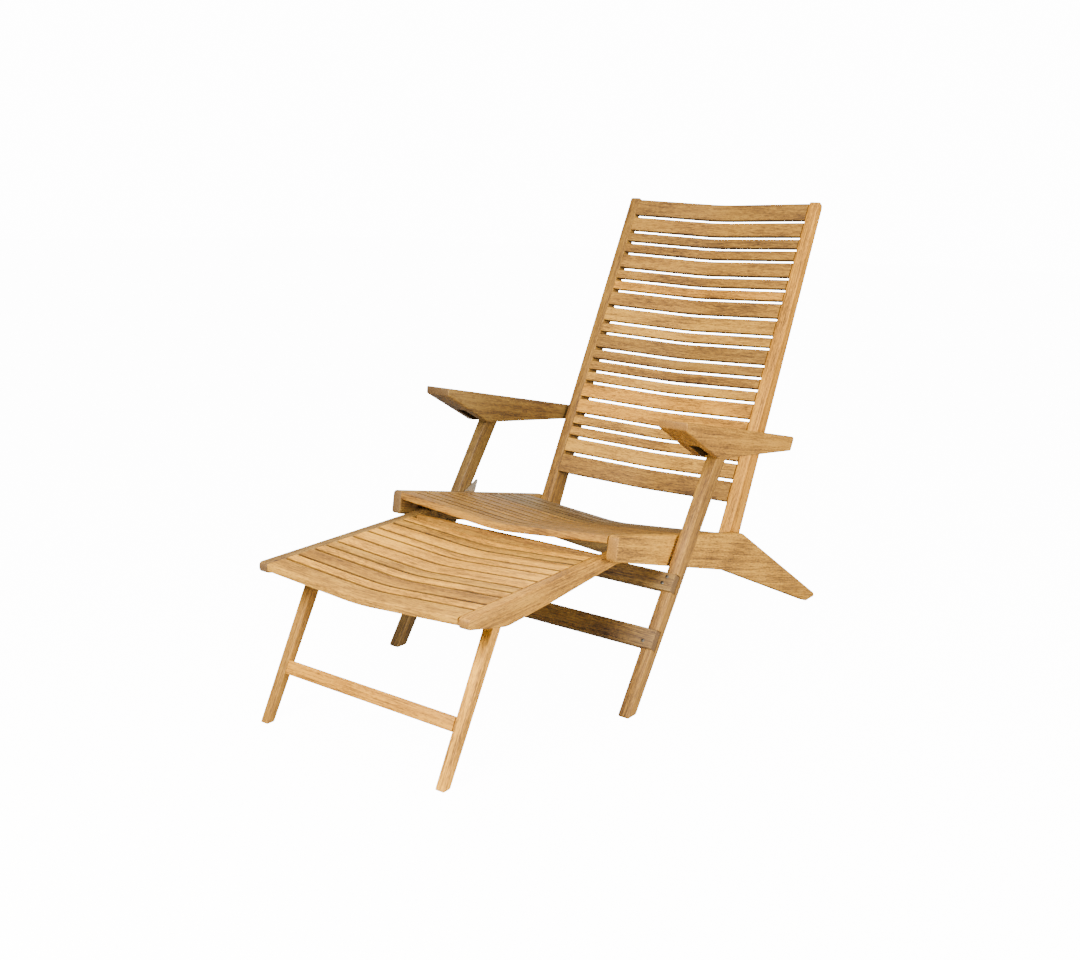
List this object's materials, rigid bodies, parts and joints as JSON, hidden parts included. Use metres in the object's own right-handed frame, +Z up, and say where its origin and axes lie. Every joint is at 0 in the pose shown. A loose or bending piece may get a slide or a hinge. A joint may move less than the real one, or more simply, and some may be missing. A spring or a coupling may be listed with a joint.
{
  "type": "folding slatted deck chair with footrest",
  "caption": "Folding wooden deck chair with slatted seat and back, slanted armrests and a fold-down slatted footrest on its own legs.",
  "frame": {"origin": "centre of the footprint on the floor, the chair open and standing", "axes": "the sitter faces -Y, +X is to the sitter's left, +Z is up"},
  "size_m": [0.632, 1.3548, 0.9491],
  "materials": {
    "teak": "sanded, unvarnished, straight grain along each piece",
    "steel": "stainless, dull"
  },
  "bodies": {
    "seat_frame": {"side_rail_left": "teak", "side_rail_right": "teak", "seat_slat_01": "teak", "seat_slat_02": "teak", "seat_slat_03": "teak", "seat_slat_04": "teak", "seat_slat_05": "teak", "seat_slat_06": "teak", "seat_slat_07": "teak", "seat_slat_08": "teak", "seat_slat_09": "teak", "seat_slat_10": "teak", "seat_slat_11": "teak", "seat_slat_12": "teak"},
    "front_legs": {"front_leg_left": "teak", "front_leg_right": "teak", "upper_crossbar": "teak", "lower_crossbar": "teak", "leg_plate_left": "steel", "leg_plate_right": "steel", "leg_pin_left": "steel", "leg_pin_right": "steel"},
    "backrest": {"back_stile_left": "teak", "back_stile_right": "teak", "back_slat_01": "teak", "back_slat_02": "teak", "back_slat_03": "teak", "back_slat_04": "teak", "back_slat_05": "teak", "back_slat_06": "teak", "back_slat_07": "teak", "back_slat_08": "teak", "back_slat_09": "teak", "back_slat_10": "teak", "back_slat_11": "teak", "back_slat_12": "teak", "back_slat_13": "teak", "back_slat_14": "teak", "back_slat_15": "teak", "back_slat_16": "teak", "back_slat_17": "teak", "back_slat_18": "teak", "back_slat_19": "teak", "back_slat_20": "teak", "back_pin_left": "steel", "back_pin_right": "steel"},
    "arms": {"arm_left": "teak", "arm_right": "teak", "arm_pin_left": "steel", "arm_pin_right": "steel"},
    "footrest": {"footrest_rail_left": "teak", "footrest_rail_right": "teak", "footrest_slats": "teak", "footrest_pin_left": "steel", "footrest_pin_right": "steel"},
    "footrest_legs": {"footrest_leg_left": "teak", "footrest_leg_right": "teak", "footrest_crossbar": "teak", "footrest_leg_pin_left": "steel", "footrest_leg_pin_right": "steel"}
  },
  "joints": [
    {"name": "front_leg_hinge", "type": "hinge", "parent": "seat_frame", "child": "front_legs", "pos_m": [0, -0.0455, 0.276], "axis": [1, 0, 0], "range_deg": [0, 72]},
    {"name": "back_hinge", "type": "hinge", "parent": "seat_frame", "child": "backrest", "pos_m": [0, 0.2355, 0.242], "axis": [1, 0, 0], "range_deg": [0, 72]},
    {"name": "arm_hinge", "type": "hinge", "parent": "front_legs", "child": "arms", "pos_m": [0, 0.0805, 0.471], "axis": [1, 0, 0], "range_deg": [-72, 0]},
    {"name": "footrest_hinge", "type": "hinge", "parent": "seat_frame", "child": "footrest", "pos_m": [0, -0.1785, 0.2935], "axis": [1, 0, 0], "range_deg": [-4, 30]},
    {"name": "footrest_leg_hinge", "type": "hinge", "parent": "footrest", "child": "footrest_legs", "pos_m": [0, -0.536, 0.266], "axis": [1, 0, 0], "range_deg": [0, 112]}
  ],
  "couplings": [
    {"joint": "front_leg_hinge", "follows": "back_hinge", "ratio": 1},
    {"joint": "arm_hinge", "follows": "back_hinge", "ratio": -1}
  ]
}
